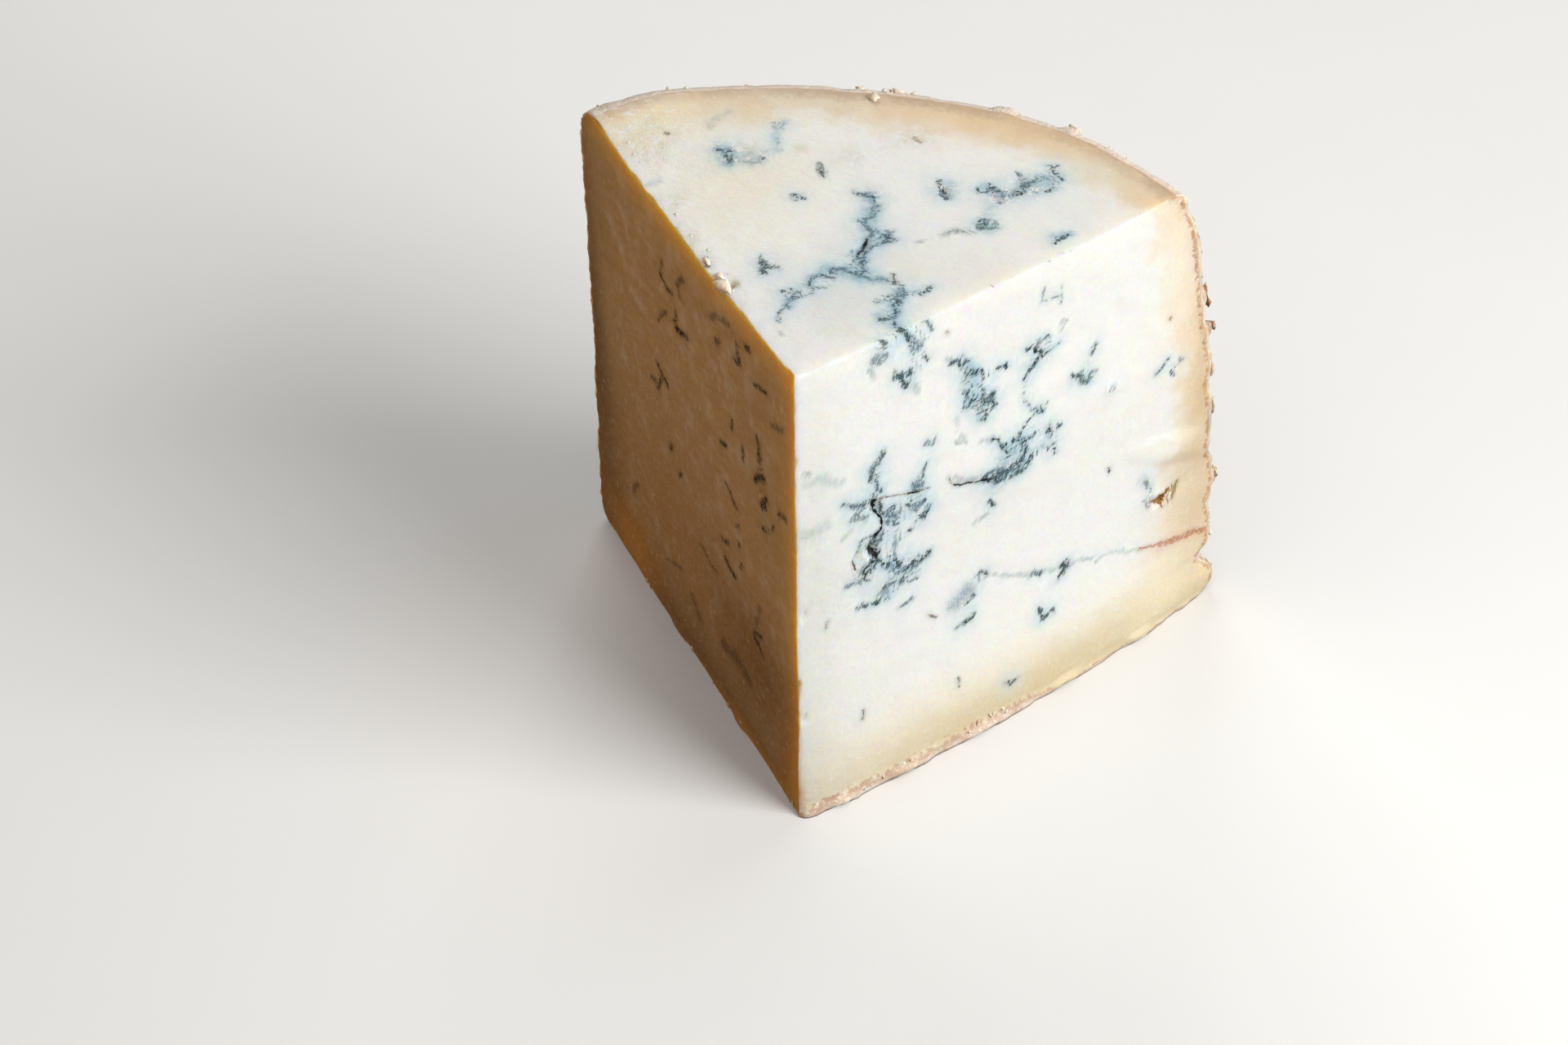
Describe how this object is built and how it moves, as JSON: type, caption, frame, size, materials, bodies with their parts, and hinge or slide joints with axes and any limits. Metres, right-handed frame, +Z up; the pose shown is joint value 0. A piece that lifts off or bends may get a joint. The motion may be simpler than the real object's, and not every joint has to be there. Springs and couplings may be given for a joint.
{
  "type": "blue cheese wedge",
  "caption": "Thick wedge of blue Stilton cheese with two upright cuts, a flat top and a craggy curved rind at the back.",
  "frame": {"origin": "on the flat underside, on the line that halves the wedge, 60 mm from the foot of the tip", "axes": "+Z up, +Y from the tip towards the rind along the line that halves the wedge, +X towards the right cut as seen from the tip"},
  "size_m": [0.1453, 0.1158, 0.1201],
  "materials": {
    "cheese": "moist cream paste with blue veins, under a dry buff and brown rind"
  },
  "bodies": {
    "root": {"stilton_wedge": "cheese"}
  },
  "joints": []
}
